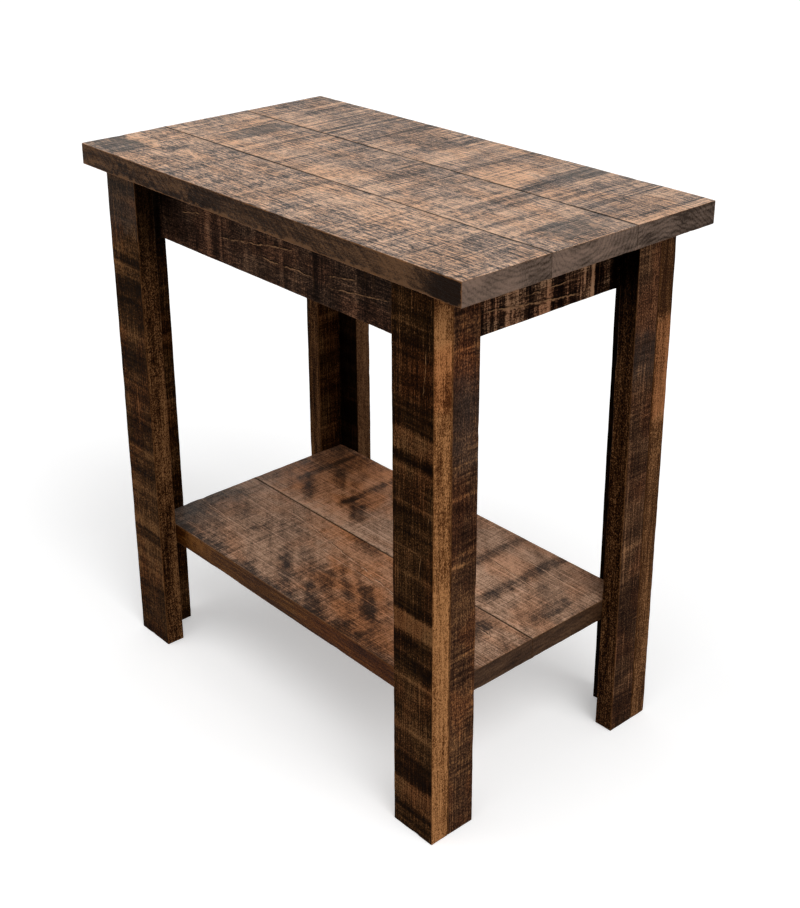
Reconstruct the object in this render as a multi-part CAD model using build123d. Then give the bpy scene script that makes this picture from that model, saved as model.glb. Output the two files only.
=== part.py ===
from build123d import *
import os

# Rustic chairside table: a three-board top on L-shaped two-board legs, with an apron frame
# and a low two-board shelf held inside the legs.
# Millimetres. X runs along the table, Y from front to rear, Z up from the floor.
# The origin is on the floor, under the middle of the table.

# Driving dimensions
TABLE_HEIGHT = 640.0
TOP_LENGTH = 634.0
TOP_THICKNESS = 25.4
TOP_BOARD_WIDTHS = (114.0, 121.0, 121.0)   # front, middle, rear
FRAME_LENGTH = 553.0                       # over the outer faces of the legs
FRAME_WIDTH = 344.0
LEG_THICKNESS = 23.8
LEG_FACE_WIDTH = 59.0                      # the leg as seen from the front
LEG_SIDE_WIDTH = 59.5                      # the leg as seen from the end
APRON_HEIGHT = 75.0
APRON_THICKNESS = 25.4
APRON_SETBACK = 32.8                       # from a leg's outer face to the apron's
SHELF_HEIGHT = 167.2                       # to the shelf's upper face
SHELF_THICKNESS = 25.6
SHELF_SEAM_Y = -1.3
ARRIS = 1.2                                # easing on every board's edges

# Joinery
SPLINE_WIDTH = 18.0
SPLINE_THICKNESS = 6.0
SPLINE_END_MARGIN = 25.0                   # from a board's end to its stopped groove
DOWEL_RADIUS = 4.0
DOWEL_CHAMFER = 0.8
LEG_DOWEL_DEPTHS = (14.0, 22.0)            # into the face board, into the side board
LEG_DOWEL_HEIGHTS = (50.0, 220.0, 380.0, 530.0)
APRON_DOWEL_DEPTHS = (14.0, 22.0)          # into the leg or end apron, into the next apron
APRON_DOWEL_HEIGHTS_Y = (568.0, 590.0)     # end apron to leg, front to rear
APRON_DOWEL_HEIGHTS_X = (553.0, 604.0)     # long apron to end apron, end to end
SHELF_DOWEL_DEPTHS = (14.0, 18.0)          # into the leg, into the shelf
SHELF_DOWEL_INSET_X = 26.7                 # from the shelf's end to the dowel in its long edge
SHELF_DOWEL_INSET_Y = 11.2                 # from the shelf's long edge to the dowel in its end
BLOCK_WIDTH = 30.0
BLOCK_HEIGHT = 56.0
BLOCK_CHAMFER = 14.0
BLOCK_TOP_GAP = 2.0
BLOCK_SCREW_INSET = 7.8                    # from the apron corner to a screw's axis
BLOCK_SCREW_HEIGHTS_Y = (566.0, 590.0)     # screws into the long aprons
BLOCK_SCREW_HEIGHTS_X = (578.0, 602.0)     # screws into the end aprons
CLEAT_SIZE = 20.0
CLEAT_END_GAP = 4.5                        # between a cleat's end and the corner block
LONG_CLEAT_TOP_SCREWS = (-150.0, 0.0, 150.0)
LONG_CLEAT_APRON_SCREWS = (-75.0, 75.0)
END_CLEAT_TOP_SCREWS = (-35.0, 35.0)
END_CLEAT_APRON_SCREWS = (-60.0, 60.0)
SCREW_RADIUS = 2.0
SCREW_HEAD_RADIUS = 4.0
SCREW_HEAD_HEIGHT = 2.6
SCREW_TIP_LENGTH = 5.0
SCREW_TIP_RADIUS = 0.3
SCREW_RECESS_WIDTH = 2.4
SCREW_RECESS_DEPTH = 1.8
BLOCK_SCREW_LENGTH = 50.0
CLEAT_SCREW_LENGTH = 32.0
CLEARANCE = 0.05                           # round a dowel, screw or spline
HOLE_END_GAP = 0.5                         # beyond a dowel's or screw's end

# Derived places
TOP_WIDTH = sum(TOP_BOARD_WIDTHS)
TOP_UNDERSIDE = TABLE_HEIGHT - TOP_THICKNESS
LEG_X = -FRAME_LENGTH / 2                  # outer faces of the front left leg
LEG_Y = -FRAME_WIDTH / 2
INNER_X = LEG_X + LEG_THICKNESS            # inner corner of the front left leg
INNER_Y = LEG_Y + LEG_THICKNESS
APRON_OUTER_X = LEG_X + APRON_SETBACK      # outer faces of the left and front aprons
APRON_OUTER_Y = LEG_Y + APRON_SETBACK
APRON_X = APRON_OUTER_X + APRON_THICKNESS  # inner corner of the apron frame
APRON_Y = APRON_OUTER_Y + APRON_THICKNESS
SHELF_UNDERSIDE = SHELF_HEIGHT - SHELF_THICKNESS

CORNERS = {
    "front_left": (),
    "front_right": (Plane.YZ,),
    "rear_left": (Plane.XZ,),
    "rear_right": (Plane.YZ, Plane.XZ),
}


def block(low, high):
    """A square-edged block between two opposite corners."""
    size = [b - a for a, b in zip(low, high)]
    middle = [(a + b) / 2 for a, b in zip(low, high)]
    return Pos(*middle) * Box(*size)


def board(low, high):
    """A board between two opposite corners, with eased arrises."""
    sawn = block(low, high)
    return fillet(sawn.edges(), ARRIS)


def mirrored(shape, planes):
    """The shape mirrored in each plane in turn."""
    for plane in planes:
        shape = mirror(shape, about=plane)
    return shape


def at_corners(shapes):
    """The front left corner's shapes, repeated at all four corners."""
    return [mirrored(shape, planes) for planes in CORNERS.values() for shape in shapes]


def dowel(seam_point, direction, depths, clearance=0.0, end_gap=0.0):
    """A dowel across a seam: depths are its reach behind and ahead of seam_point."""
    behind, ahead = (depth + end_gap for depth in depths)
    peg = Cylinder(DOWEL_RADIUS + clearance, behind + ahead, align=(Align.CENTER, Align.CENTER, Align.MIN))
    peg = chamfer(peg.edges().filter_by(GeomType.CIRCLE), DOWEL_CHAMFER)
    return Plane(seam_point, z_dir=direction) * Pos(0, 0, -behind) * peg


def screw_form(length, clearance=0.0):
    """A countersunk screw along +Z, its head's face at the origin."""
    upright = (Align.CENTER, Align.CENTER, Align.MIN)
    shank_radius = SCREW_RADIUS + clearance
    shank_length = length - SCREW_HEAD_HEIGHT - SCREW_TIP_LENGTH
    head = Cone(SCREW_HEAD_RADIUS + clearance, shank_radius, SCREW_HEAD_HEIGHT, align=upright)
    shank = Pos(0, 0, SCREW_HEAD_HEIGHT) * Cylinder(shank_radius, shank_length, align=upright)
    tip_base = Pos(0, 0, SCREW_HEAD_HEIGHT + shank_length)
    tip = tip_base * Cone(shank_radius, SCREW_TIP_RADIUS + clearance, SCREW_TIP_LENGTH, align=upright)
    return head + shank + tip


def screw(head_point, direction, length):
    """A wood screw with a square drive recess."""
    recess = block(
        (-SCREW_RECESS_WIDTH / 2, -SCREW_RECESS_WIDTH / 2, 0),
        (SCREW_RECESS_WIDTH / 2, SCREW_RECESS_WIDTH / 2, SCREW_RECESS_DEPTH),
    )
    return Plane(head_point, z_dir=direction) * (screw_form(length) - recess)


def screw_hole(head_point, direction, length):
    """The countersunk hole for a screw."""
    return Plane(head_point, z_dir=direction) * screw_form(length + HOLE_END_GAP, CLEARANCE)


def leg_dowel_places():
    """Seam points of one leg's dowels, which run front to rear."""
    x = LEG_X + LEG_THICKNESS / 2
    return [((x, INNER_Y, z), (0, 1, 0)) for z in LEG_DOWEL_HEIGHTS]


def apron_dowel_places():
    """Seam points of one corner's dowels: leg to end apron, and end apron to long apron."""
    middle_x = APRON_OUTER_X + APRON_THICKNESS / 2
    middle_y = APRON_OUTER_Y + APRON_THICKNESS / 2
    to_leg = [((middle_x, INNER_Y, z), (0, 1, 0)) for z in APRON_DOWEL_HEIGHTS_Y]
    to_long_apron = [((APRON_X, middle_y, z), (1, 0, 0)) for z in APRON_DOWEL_HEIGHTS_X]
    return to_leg + to_long_apron


def shelf_dowel_places():
    """Seam points of one corner's dowels between leg and shelf."""
    z = SHELF_HEIGHT - SHELF_THICKNESS / 2
    return [
        ((INNER_X + SHELF_DOWEL_INSET_X, INNER_Y, z), (0, 1, 0)),
        ((INNER_X, INNER_Y + SHELF_DOWEL_INSET_Y, z), (1, 0, 0)),
    ]


def corner_screw_places():
    """Head points and directions of one corner block's screws."""
    x = APRON_X + BLOCK_SCREW_INSET
    y = APRON_Y + BLOCK_SCREW_INSET
    front = [((x, APRON_Y + BLOCK_WIDTH, z), (0, -1, 0)) for z in BLOCK_SCREW_HEIGHTS_Y]
    end = [((APRON_X + BLOCK_WIDTH, y, z), (-1, 0, 0)) for z in BLOCK_SCREW_HEIGHTS_X]
    return front + end


def front_cleat_screw_places():
    """Head points and directions of the front cleat's screws."""
    y = APRON_Y + CLEAT_SIZE
    z = TOP_UNDERSIDE - CLEAT_SIZE
    up = [((x, y - CLEAT_SIZE / 2, z), (0, 0, 1)) for x in LONG_CLEAT_TOP_SCREWS]
    out = [((x, y, z + CLEAT_SIZE / 2), (0, -1, 0)) for x in LONG_CLEAT_APRON_SCREWS]
    return up + out


def left_cleat_screw_places():
    """Head points and directions of the left cleat's screws."""
    x = APRON_X + CLEAT_SIZE
    z = TOP_UNDERSIDE - CLEAT_SIZE
    up = [((x - CLEAT_SIZE / 2, y, z), (0, 0, 1)) for y in END_CLEAT_TOP_SCREWS]
    out = [((x, y, z + CLEAT_SIZE / 2), (-1, 0, 0)) for y in END_CLEAT_APRON_SCREWS]
    return up + out


def corner_screws(make):
    """All corner block screws, or their holes, as make builds them."""
    return at_corners([make(*place, BLOCK_SCREW_LENGTH) for place in corner_screw_places()])


def cleat_screws(make):
    """All cleat screws, or their holes, as make builds them."""
    front = [make(*place, CLEAT_SCREW_LENGTH) for place in front_cleat_screw_places()]
    left = [make(*place, CLEAT_SCREW_LENGTH) for place in left_cleat_screw_places()]
    rear = [mirrored(shape, (Plane.XZ,)) for shape in front]
    right = [mirrored(shape, (Plane.YZ,)) for shape in left]
    return front + rear + left + right


def leg_dowels(**fit):
    """All dowels inside the legs, or their holes."""
    return at_corners([dowel(*place, LEG_DOWEL_DEPTHS, **fit) for place in leg_dowel_places()])


def apron_dowels(**fit):
    """All dowels at the ends of the aprons, or their holes."""
    return at_corners([dowel(*place, APRON_DOWEL_DEPTHS, **fit) for place in apron_dowel_places()])


def shelf_dowels(**fit):
    """All dowels between legs and shelf, or their holes."""
    return at_corners([dowel(*place, SHELF_DOWEL_DEPTHS, **fit) for place in shelf_dowel_places()])


def spline(length, seam_y, middle_z, clearance=0.0):
    """A loose tongue along X on a seam, or its groove."""
    half_length = length / 2 - SPLINE_END_MARGIN + clearance
    half_width = SPLINE_WIDTH / 2 + clearance
    half_thickness = SPLINE_THICKNESS / 2 + clearance
    low = (-half_length, seam_y - half_width, middle_z - half_thickness)
    high = (half_length, seam_y + half_width, middle_z + half_thickness)
    return block(low, high)


def top_seams():
    """Y of the seams between the top's boards."""
    front = -TOP_WIDTH / 2 + TOP_BOARD_WIDTHS[0]
    return front, front + TOP_BOARD_WIDTHS[1]


def top_spline(seam_y, clearance=0.0):
    return spline(TOP_LENGTH, seam_y, TABLE_HEIGHT - TOP_THICKNESS / 2, clearance)


def shelf_spline(clearance=0.0):
    return spline(-2 * INNER_X, SHELF_SEAM_Y, SHELF_HEIGHT - SHELF_THICKNESS / 2, clearance)


def cut(piece, tools):
    """The piece less every tool that reaches into it."""
    room = piece.bounding_box()
    for tool in tools:
        reach = tool.bounding_box()
        apart = any(
            low > far or high < near
            for low, high, near, far in zip(room.min, room.max, reach.min, reach.max)
        )
        if not apart:
            piece = piece - tool
    return piece


def top_boards():
    """The three boards of the top."""
    seams = top_seams()
    edges = (-TOP_WIDTH / 2, *seams, TOP_WIDTH / 2)
    names = ("top_front_board", "top_middle_board", "top_rear_board")
    grooves = [top_spline(seam, CLEARANCE) for seam in seams]
    tools = grooves + cleat_screws(screw_hole)
    boards = {}
    for name, near, far in zip(names, edges, edges[1:]):
        low = (-TOP_LENGTH / 2, near, TOP_UNDERSIDE)
        high = (TOP_LENGTH / 2, far, TABLE_HEIGHT)
        boards[name] = cut(board(low, high), tools)
    return boards


def legs(tools):
    """Four L-shaped legs, each a face board with a side board butted behind it."""
    face_low = (LEG_X, LEG_Y, 0)
    face_high = (LEG_X + LEG_FACE_WIDTH, INNER_Y, TOP_UNDERSIDE)
    side_low = (LEG_X, INNER_Y, 0)
    side_high = (INNER_X, LEG_Y + LEG_SIDE_WIDTH, TOP_UNDERSIDE)
    face = cut(board(face_low, face_high), tools)
    side = cut(board(side_low, side_high), tools)
    boards = {}
    for corner, planes in CORNERS.items():
        boards[f"{corner}_leg_face"] = mirrored(face, planes)
        boards[f"{corner}_leg_side"] = mirrored(side, planes)
    return boards


def aprons(tools):
    """End aprons between the legs' face boards, and long aprons between the end ones."""
    low_z = TOP_UNDERSIDE - APRON_HEIGHT
    front = cut(board((APRON_X, APRON_OUTER_Y, low_z), (-APRON_X, APRON_Y, TOP_UNDERSIDE)), tools)
    left = cut(board((APRON_OUTER_X, INNER_Y, low_z), (APRON_X, -INNER_Y, TOP_UNDERSIDE)), tools)
    return {
        "front_apron": front,
        "rear_apron": mirror(front, about=Plane.XZ),
        "left_apron": left,
        "right_apron": mirror(left, about=Plane.YZ),
    }


def shelf_boards():
    """The two shelf boards, whose corners sit in the inner corners of the legs."""
    tools = [shelf_spline(CLEARANCE), *shelf_dowels(clearance=CLEARANCE, end_gap=HOLE_END_GAP)]
    front = board((INNER_X, INNER_Y, SHELF_UNDERSIDE), (-INNER_X, SHELF_SEAM_Y, SHELF_HEIGHT))
    rear = board((INNER_X, SHELF_SEAM_Y, SHELF_UNDERSIDE), (-INNER_X, -INNER_Y, SHELF_HEIGHT))
    return {"shelf_front_board": cut(front, tools), "shelf_rear_board": cut(rear, tools)}


def corner_blocks(tools):
    """Blocks in the inner corners of the apron frame, each with its free corner planed off."""
    top = TOP_UNDERSIDE - BLOCK_TOP_GAP
    low = (APRON_X, APRON_Y, top - BLOCK_HEIGHT)
    high = (APRON_X + BLOCK_WIDTH, APRON_Y + BLOCK_WIDTH, top)
    sawn = block(low, high)
    free_edge = sawn.edges().filter_by(Axis.Z).sort_by(Axis.X)[-2:].sort_by(Axis.Y)[-1]
    planed = cut(chamfer(free_edge, BLOCK_CHAMFER), tools)
    return {f"{corner}_corner_block": mirrored(planed, planes) for corner, planes in CORNERS.items()}


def top_cleats():
    """Strips along the inside of the aprons, screwed up into the top."""
    low_z = TOP_UNDERSIDE - CLEAT_SIZE
    end_x = APRON_X + BLOCK_WIDTH + CLEAT_END_GAP
    end_y = APRON_Y + BLOCK_WIDTH + CLEAT_END_GAP
    holes = cleat_screws(screw_hole)
    front = cut(block((end_x, APRON_Y, low_z), (-end_x, APRON_Y + CLEAT_SIZE, TOP_UNDERSIDE)), holes)
    left = cut(block((APRON_X, end_y, low_z), (APRON_X + CLEAT_SIZE, -end_y, TOP_UNDERSIDE)), holes)
    return {
        "front_top_cleat": front,
        "rear_top_cleat": mirror(front, about=Plane.XZ),
        "left_top_cleat": left,
        "right_top_cleat": mirror(left, about=Plane.YZ),
    }


def splines():
    """The loose tongues in the edge joints of the top and the shelf."""
    front_seam, rear_seam = top_seams()
    return {
        "top_front_spline": top_spline(front_seam),
        "top_rear_spline": top_spline(rear_seam),
        "shelf_spline": shelf_spline(),
    }


def fasteners():
    """Identical screws and dowels, one group of separate solids for each kind."""
    return {
        "corner_screws": Compound(children=corner_screws(screw)),
        "cleat_screws": Compound(children=cleat_screws(screw)),
        "leg_dowels": Compound(children=leg_dowels()),
        "apron_dowels": Compound(children=apron_dowels()),
        "shelf_dowels": Compound(children=shelf_dowels()),
    }


def build():
    """Every piece of the table by name."""
    dowel_holes = {"clearance": CLEARANCE, "end_gap": HOLE_END_GAP}
    apron_dowel_holes = apron_dowels(**dowel_holes)
    block_holes = corner_screws(screw_hole)
    leg_holes = leg_dowels(**dowel_holes) + shelf_dowels(**dowel_holes) + apron_dowel_holes
    apron_holes = apron_dowel_holes + block_holes + cleat_screws(screw_hole)
    return {
        **top_boards(),
        **legs(leg_holes),
        **aprons(apron_holes),
        **shelf_boards(),
        **corner_blocks(block_holes),
        **top_cleats(),
        **splines(),
        **fasteners(),
    }


os.makedirs("parts", exist_ok=True)
for name, shape in build().items():
    export_step(shape, f"parts/{name}.step")
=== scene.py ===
# The looks of a rustic chairside table: rough-sawn boards, built around the CAD frame.
# Metres. X along the table, Y from front to rear, Z up from the floor.

import itertools
import math

import bpy
import numpy as np
from mathutils import Matrix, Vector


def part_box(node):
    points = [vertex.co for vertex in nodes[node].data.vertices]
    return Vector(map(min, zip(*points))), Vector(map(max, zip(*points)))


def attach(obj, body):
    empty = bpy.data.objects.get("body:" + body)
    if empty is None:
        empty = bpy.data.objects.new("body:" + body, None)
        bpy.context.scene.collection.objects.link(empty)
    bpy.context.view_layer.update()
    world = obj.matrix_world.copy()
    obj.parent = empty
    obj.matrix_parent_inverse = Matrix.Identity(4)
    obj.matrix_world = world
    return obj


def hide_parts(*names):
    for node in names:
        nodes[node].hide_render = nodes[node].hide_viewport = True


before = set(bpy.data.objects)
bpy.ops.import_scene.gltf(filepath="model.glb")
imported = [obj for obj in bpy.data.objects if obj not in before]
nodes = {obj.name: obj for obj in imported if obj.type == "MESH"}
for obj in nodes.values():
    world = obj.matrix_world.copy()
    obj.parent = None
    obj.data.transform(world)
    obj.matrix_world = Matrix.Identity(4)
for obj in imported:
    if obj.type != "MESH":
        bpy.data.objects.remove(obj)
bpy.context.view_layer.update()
MM = 0.001
# The kinds of a board's faces
WIDE_FACE, NARROW_SIDE, END_GRAIN = 0.0, 1.0, 2.0

# -------------------- random fields

TABLE_SIDE = 32
SECOND_GAIN = 0.6


def field(points, cell, seed):
    """Smooth random values from -1 to 1 at the points, over cells of the given sizes."""
    table = np.random.default_rng(seed).uniform(-1, 1, (TABLE_SIDE,) * 3)
    place = points / np.array(cell)
    base = np.floor(place).astype(int)
    part = place - base
    part = part * part * (3 - 2 * part)
    total = np.zeros(len(points))
    for corner in itertools.product((0, 1), repeat=3):
        index = (base + corner) % TABLE_SIDE
        weight = np.where(corner, part, 1 - part).prod(axis=1)
        total += weight * table[index[:, 0], index[:, 1], index[:, 2]]
    return total


def smooth(value, low, high):
    """0 below low, 1 above high, and a smooth step between them."""
    part = np.clip((value - low) / (high - low), 0, 1)
    return part * part * (3 - 2 * part)


# -------------------- board meshes

# The lattice of a board: its lines near an edge, and its steps away from the edges
ARRIS_LINES = np.array((0.0, 0.35, 0.8, 1.4, 2.2, 3.4)) * MM
ACROSS_STEP = 2.8 * MM
DEPTH_STEP = 3.2 * MM
# The arrises: how uneven they are, the chips in them, and the limits of their radius
UNEVENNESS = 0.35
CHIP_RADIUS = 1.4 * MM
RADIUS_LIMITS = (0.5 * MM, 3.2 * MM)
# The arrises at a joint, which are smaller still at its two ends
JOINT_RADIUS = 0.95 * MM
JOINT_END_DROP = 0.45 * MM
JOINT_END = 2.5 * MM
JOINT_FADE = (2 * MM, 5 * MM)
# How deep the planer's hollows, the saw's marks and the lines of the fibres go
HOLLOW_DEPTH = 0.3 * MM
SAW_DEPTH = 0.28 * MM
FIBRE_DEPTH = 0.14 * MM
# A point so near a face of the box lies on it, a distance so far is never near, and a length
# isn't divided by less than so little
SKIN = 0.1 * MM
FAR = 1.0
TINY = 1e-9
# The dark of a seam fades out between these distances
SEAM_FADE = (0.4 * MM, 2.3 * MM)
UNDERSIDE_TONE = -0.3
# A mark's ends, in millimetres: the steps of the ragged ones, the waves of those along the grain,
# and how far both go for each millimetre of the mark's soft edge
RAGGED_CELLS = ((4.3, 1, 1), (15, 1, 1))
RAGGED_GAIN = 1.3
RAGGED_LIMIT = 7
WAVER_CELL = (9, 11, 9)
WAVER_GAIN = 0.35
# Added to a board's seed for its random fields. The arrises' unevenness takes the seed itself.
CHIP_SEED, HOLLOW_SEED, BAND_SEED, SAW_SEED, FIBRE_SEED = 2, 3, 4, 5, 6
MARK_SEED, RED_SEED, GREY_SEED = 7, 10, 11


def lattice_lines(low, high, step):
    """Places of the lattice lines along one side: close together over the arrises."""
    near = low + ARRIS_LINES
    far = high - ARRIS_LINES[::-1]
    count = max(2, round((far[0] - near[-1]) / step))
    inner = np.linspace(near[-1], far[0], count + 1)[1:-1]
    return np.concatenate((near, inner, far))


def box_lattice(lines):
    """Surface points and quads of a box lattice, and which axis each quad faces."""
    counts = [len(line) for line in lines]
    keys, facing = [], []
    for axis in range(3):
        a, b = [i for i in range(3) if i != axis]
        grid_a, grid_b = np.meshgrid(np.arange(counts[a]), np.arange(counts[b]), indexing="ij")
        for end in (0, counts[axis] - 1):
            index = {a: grid_a, b: grid_b, axis: np.full_like(grid_a, end)}
            key = np.ravel_multi_index([index[i] for i in range(3)], counts)
            quad = np.stack((key[:-1, :-1], key[1:, :-1], key[1:, 1:], key[:-1, 1:]), axis=-1)
            outward = (end > 0) == (axis != 1)
            if not outward:
                quad = quad[..., ::-1]
            quad = quad.reshape(-1, 4)
            keys.append(quad)
            facing.append(np.full(len(quad), axis))
    quads = np.concatenate(keys)
    used, quads = np.unique(quads, return_inverse=True)
    quads = quads.reshape(-1, 4)
    index = np.unravel_index(used, counts)
    points = np.stack([lines[i][index[i]] for i in range(3)], axis=1)
    return points, quads, np.concatenate(facing)


def rounded(points, low, high, radius):
    """Points of a box's surface drawn in to its eased arrises, and their outward directions."""
    core = np.clip(points, low + radius[:, None], high - radius[:, None])
    away = points - core
    direction = away / np.maximum(np.linalg.norm(away, axis=1), TINY)[:, None]
    return core + direction * radius[:, None], direction


def mark(tone, edge, lean=0.0, **ranges):
    """A mark in the wood: a box in millimetres, lighter or darker by tone, over an edge so wide.

    lean is how far the mark shifts along the grain for each millimetre across.
    """
    return tone, edge, lean, {"xyz".index(axis): place for axis, place in ranges.items()}


def marked(points, marks, axes, seed):
    """The sum of a board's marks at its points. The ends of a mark across the grain are ragged."""
    grain, across, _ = axes
    place = points / MM
    along = place[:, [grain]] * (1, 0, 0)
    short, long = RAGGED_CELLS
    ragged = field(along, short, seed) + SECOND_GAIN * field(along, long, seed + 1)
    waver = field(place, WAVER_CELL, seed + 2)
    total = np.zeros(len(points))
    for tone, edge, lean, ranges in marks:
        inside = np.ones(len(points))
        for axis, (low, high) in ranges.items():
            at = place[:, axis]
            if axis == grain:
                middle = sum(ranges.get(across, (0, 0))) / 2
                at = at + lean * (place[:, across] - middle) + WAVER_GAIN * edge * waver
            else:
                at = at + min(RAGGED_GAIN * edge, RAGGED_LIMIT) * ragged
            half = edge / 2
            inside *= smooth(at, low - half, low + half)
            inside *= 1 - smooth(at, high - half, high + half)
        total += tone * inside
    return total


def attribute(mesh, name, domain, values):
    """Keep a value for each point or face of a mesh, for its material to read."""
    made = mesh.attributes.new(name, "FLOAT", domain)
    made.data.foreach_set("value", np.asarray(values, np.float32))


def on_faces(points, low, high, axis):
    """Which points lie on the box's two faces across an axis."""
    return np.minimum(points[:, axis] - low[axis], high[axis] - points[:, axis]) < SKIN


def arrises(look, seed, points, low, high):
    """At each point: the arris's radius, the distance to the nearest edge, and that to a seam."""
    grain, across, _ = look["axes"]
    local = points[:, look["axes"]]
    uneven = field(local, (23 * MM, 9 * MM, 9 * MM), seed)
    uneven = uneven + SECOND_GAIN * field(local, (7 * MM, 9 * MM, 9 * MM), seed + 1)
    chips = smooth(field(local, (31 * MM, 14 * MM, 14 * MM), seed + CHIP_SEED), 0.45, 0.9)
    radius = look["arris"] * (1 + UNEVENNESS * uneven) + CHIP_RADIUS * chips
    gaps = np.concatenate((points - low, high - points), axis=1)
    seam = np.full(len(points), FAR)
    for side in look.get("joined", ()):
        face = across + 3 * (side > 0)
        gap = gaps[:, face]
        seam = np.minimum(seam, gap)
        near = 1 - smooth(gap, *JOINT_FADE)
        at_end = np.minimum(gaps[:, grain], gaps[:, grain + 3]) < JOINT_END
        radius = radius * (1 - near) + (JOINT_RADIUS - JOINT_END_DROP * at_end) * near
        gaps[:, face] = FAR
    gaps.sort(axis=1)
    return np.clip(radius, *RADIUS_LIMITS), gaps[:, 1], seam


def saw_relief(local, seed):
    """How far the surface lies below the box's: hollows, saw marks in bands, and fibres."""
    hollow = 0.5 + 0.5 * field(local, (70 * MM, 34 * MM, 40 * MM), seed + HOLLOW_SEED)
    band = smooth(field(local, (26 * MM, 300 * MM, 60 * MM), seed + BAND_SEED), -0.2, 0.5)
    saw = 0.5 + 0.5 * field(local, (5 * MM, 160 * MM, 90 * MM), seed + SAW_SEED)
    fibre = 0.5 + 0.5 * field(local, (26 * MM, 5 * MM, 5 * MM), seed + FIBRE_SEED)
    return HOLLOW_DEPTH * hollow + SAW_DEPTH * band * saw + FIBRE_DEPTH * fibre


def added(name, data):
    """A new object in the scene."""
    made = bpy.data.objects.new(name, data)
    bpy.context.scene.collection.objects.link(made)
    return made


def board(name, look, seed, material):
    """A sawn board in place of the CAD node, inside its box."""
    low, high = (np.array(corner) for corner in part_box(name))
    axes = look["axes"]
    grain, across, through = axes
    steps = [0, 0, 0]
    steps[grain] = look["step"]
    steps[across] = ACROSS_STEP
    steps[through] = DEPTH_STEP
    lines = [lattice_lines(low[i], high[i], steps[i]) for i in range(3)]
    points, quads, facing = box_lattice(lines)
    radius, arris, seam = arrises(look, seed, points, low, high)
    shaped, direction = rounded(points, low, high, radius)
    depth = saw_relief(points[:, axes], seed) * look["relief"]
    shaped = shaped - direction * depth[:, None]

    mesh = bpy.data.meshes.new(name)
    mesh.from_pydata(shaped.tolist(), [], quads.tolist())
    mesh.polygons.foreach_set("use_smooth", np.ones(len(quads), bool))
    kinds = {grain: END_GRAIN, across: NARROW_SIDE, through: WIDE_FACE}
    attribute(mesh, "kind", "FACE", np.choose(facing, [kinds[axis] for axis in range(3)]))
    attribute(mesh, "arris", "POINT", arris)

    at_end = on_faces(points, low, high, grain)
    on_side = on_faces(points, low, high, across)
    underneath = (through == 2) & (points[:, 2] - low[2] < SKIN) & ~on_side & ~at_end
    side_tone, face_tone, end_tone = (
        marked(points, look.get(key, ()), axes, seed + MARK_SEED)
        for key in ("side_marks", "marks", "end_marks"))
    tone = np.where(at_end, end_tone, np.where(on_side, side_tone, face_tone))
    attribute(mesh, "tone", "POINT", np.where(underneath, UNDERSIDE_TONE, tone))
    red = marked(points, look.get("reds", ()), axes, seed + RED_SEED)
    attribute(mesh, "red", "POINT", np.where(underneath, 0.0, red))
    # Where grey is mixed into the wide faces: painted sheen, a reflection of a bright surround
    grey = marked(points, look.get("greys", ()), axes, seed + GREY_SEED)
    attribute(mesh, "grey", "POINT", np.where(on_side | at_end | underneath, 0.0, grey))
    in_seam = look["seam_shade"]
    shade = np.where(at_end, 1.0, in_seam + (1 - in_seam) * smooth(seam, *SEAM_FADE))
    # Painted shade: the colour is darker in the pockets under the top and in the legs' corners
    if "painted_shade" in look:
        shade *= 1 - look["painted_shade"](*(points / MM).T)
    attribute(mesh, "shade", "POINT", shade)

    mesh.materials.append(material)
    piece = added(name + "_board", mesh)
    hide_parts(name)
    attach(piece, "root")


# -------------------- materials

# A noise starts at a random place, within this many of its cells
ORIGIN_RANGE = 50
# Where the colours of the wide faces, and of the sides and ends, stand on their ramps
FACE_STOPS = (0.0, 0.28, 0.5, 0.7, 1.0)
NARROW_STOPS = (0.1, 0.5, 0.9)
KIND_TOLERANCE = 0.1
RING_PITCH = 0.0052
# A crack fades in and out over this length
CRACK_FADE = 0.012


def srgb(red, green, blue):
    """A linear colour from 0-255 sRGB numbers."""
    channels = [value / 255 for value in (red, green, blue)]
    linear = [c / 12.92 if c <= 0.04045 else ((c + 0.055) / 1.055) ** 2.4 for c in channels]
    return (*linear, 1.0)


def colours(*numbers):
    """Linear colours from rows of 0-255 sRGB numbers."""
    return [srgb(*row) for row in numbers]


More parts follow.
